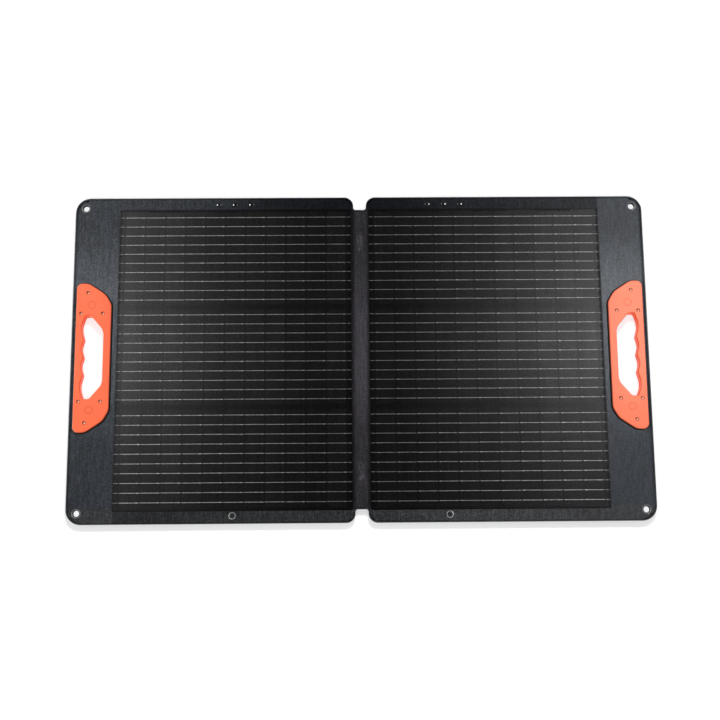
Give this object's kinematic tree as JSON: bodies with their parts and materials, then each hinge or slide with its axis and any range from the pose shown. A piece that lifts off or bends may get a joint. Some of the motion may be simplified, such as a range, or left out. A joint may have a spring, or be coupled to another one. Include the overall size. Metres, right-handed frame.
{
  "type": "folding solar panel",
  "caption": "Two-fold portable solar panel lying open, with moulded side handles, corner grommets, a fabric hinge, fold-out stand legs and an output cable.",
  "frame": {"origin": "middle of the fabric hinge on the plane the open panel rests on", "axes": "+X from the left half to the right half, +Y to the edge where the stand legs are hinged, +Z out of the cell side"},
  "size_m": [1.09, 0.624, 0.0209],
  "materials": {
    "back_fabric": "black woven polyester with a coated face",
    "board": "glass-fibre laminate, matt",
    "margin_fabric": "charcoal coated weave, matt",
    "encapsulant": "clear adhesive over black backing",
    "cell": "monocrystalline silicon under anti-glare coating",
    "ribbon": "tinned copper ribbon",
    "film": "embossed matt fluoropolymer film",
    "handle_plastic": "moulded coral orange plastic, satin",
    "screw_steel": "plated steel",
    "nickel": "nickel plate",
    "black_metal": "black coated steel",
    "pin_steel": "turned steel",
    "webbing": "black nylon webbing",
    "hinge_fabric": "black coated weave, flexible",
    "braid": "flat copper braid",
    "stand_plastic": "black moulded plastic, fine texture",
    "rubber": "black rubber",
    "box_plastic": "black moulded plastic, spark texture",
    "gasket_rubber": "grey silicone",
    "circuit": "green solder mask",
    "gland_plastic": "black nylon",
    "cable_jacket": "black flexible jacket",
    "plug_plastic": "black overmould"
  },
  "bodies": {
    "left_panel": {"left_rear_fabric": "back_fabric", "left_stiffener_board": "board", "left_front_fabric": "margin_fabric", "left_encapsulant_sheet": "encapsulant", "left_cell_strips": "cell", "left_busbar_ribbons": "ribbon", "left_end_conductors": "ribbon", "left_front_film": "film", "left_handle_front": "handle_plastic", "left_handle_rear": "handle_plastic", "left_handle_screws": "screw_steel", "left_grommets": "nickel", "left_grommet_washers": "nickel", "left_stand_bracket": "black_metal", "left_stand_rivets": "black_metal", "left_stand_pin": "pin_steel", "left_snap_eyelet": "nickel", "left_snap_stud": "pin_steel", "left_brace_webbing": "webbing", "left_hinge_tab": "hinge_fabric"},
    "right_panel": {"right_rear_fabric": "back_fabric", "right_stiffener_board": "board", "right_front_fabric": "margin_fabric", "right_encapsulant_sheet": "encapsulant", "right_cell_strips": "cell", "right_busbar_ribbons": "ribbon", "right_end_conductors": "ribbon", "right_front_film": "film", "right_handle_front": "handle_plastic", "right_handle_rear": "handle_plastic", "right_handle_screws": "screw_steel", "right_grommets": "nickel", "right_grommet_washers": "nickel", "right_stand_bracket": "black_metal", "right_stand_rivets": "black_metal", "right_stand_pin": "pin_steel", "right_snap_eyelet": "nickel", "right_snap_stud": "pin_steel", "right_brace_webbing": "webbing", "right_hinge_tab": "hinge_fabric", "junction_box_tray": "box_plastic", "junction_box_lid": "box_plastic", "junction_box_gasket": "gasket_rubber", "junction_circuit_board": "circuit", "junction_lid_screws": "screw_steel", "cable_gland": "gland_plastic", "output_cable": "cable_jacket", "cable_clips": "box_plastic", "output_plug_body": "plug_plastic", "output_plug_barrel": "nickel"},
    "hinge_spine": {"hinge_spine": "hinge_fabric", "hinge_braids": "braid"},
    "left_stand": {"left_stand_leg": "stand_plastic", "left_stand_foot": "rubber", "left_snap_socket": "pin_steel"},
    "right_stand": {"right_stand_leg": "stand_plastic", "right_stand_foot": "rubber", "right_snap_socket": "pin_steel"}
  },
  "joints": [
    {"name": "left_fold", "type": "hinge", "parent": "left_panel", "child": "hinge_spine", "pos_m": [-0.011, 0, 0.0126], "axis": [0, -1, 0], "range_deg": [0, 90]},
    {"name": "right_fold", "type": "hinge", "parent": "hinge_spine", "child": "right_panel", "pos_m": [0.011, 0, 0.0126], "axis": [0, -1, 0], "range_deg": [0, 90]},
    {"name": "left_stand_hinge", "type": "hinge", "parent": "left_panel", "child": "left_stand", "pos_m": [-0.239, 0.281, 0.0054], "axis": [1, 0, 0], "range_deg": [0, 55]},
    {"name": "right_stand_hinge", "type": "hinge", "parent": "right_panel", "child": "right_stand", "pos_m": [0.162, 0.281, 0.0054], "axis": [1, 0, 0], "range_deg": [0, 55]}
  ]
}
